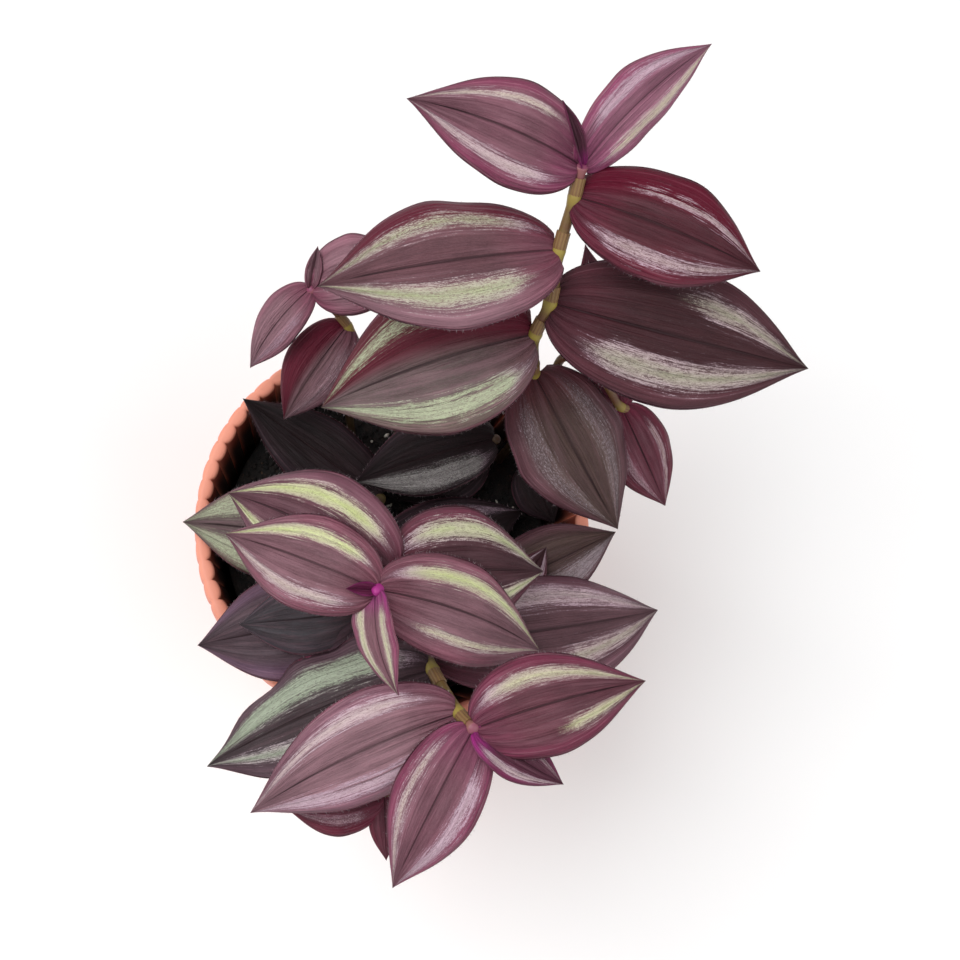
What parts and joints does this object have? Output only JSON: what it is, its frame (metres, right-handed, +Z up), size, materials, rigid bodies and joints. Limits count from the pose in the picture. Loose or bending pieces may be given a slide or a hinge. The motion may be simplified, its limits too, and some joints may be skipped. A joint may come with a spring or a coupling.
{
  "type": "potted tradescantia",
  "caption": "Potted tradescantia: fluted plastic pot filled with soil, with arching leafy stems whose pointed purple leaves carry silver stripes",
  "frame": {"origin": "on the pot's axis, at the flat underside of its foot", "axes": "+Z up along the pot's axis; +X to the right and +Y away from the viewer, so that the long stem leans out towards +Y"},
  "size_m": [0.1233, 0.177, 0.1723],
  "materials": {
    "pot": "moulded plastic, salmon pink, satin",
    "soil": "dark moist peat soil with pale specks",
    "plant": "purple-brown living leaves with silver-green stripes, slightly glossy"
  },
  "bodies": {
    "root": {"pot": "pot", "soil": "soil", "stem_back": "plant", "stem_back_left": "plant", "stem_back_right": "plant", "stem_front": "plant", "stem_front_right": "plant", "stem_right": "plant", "stem_left": "plant", "stem_middle": "plant", "stem_low": "plant", "stem_far": "plant"}
  },
  "joints": []
}
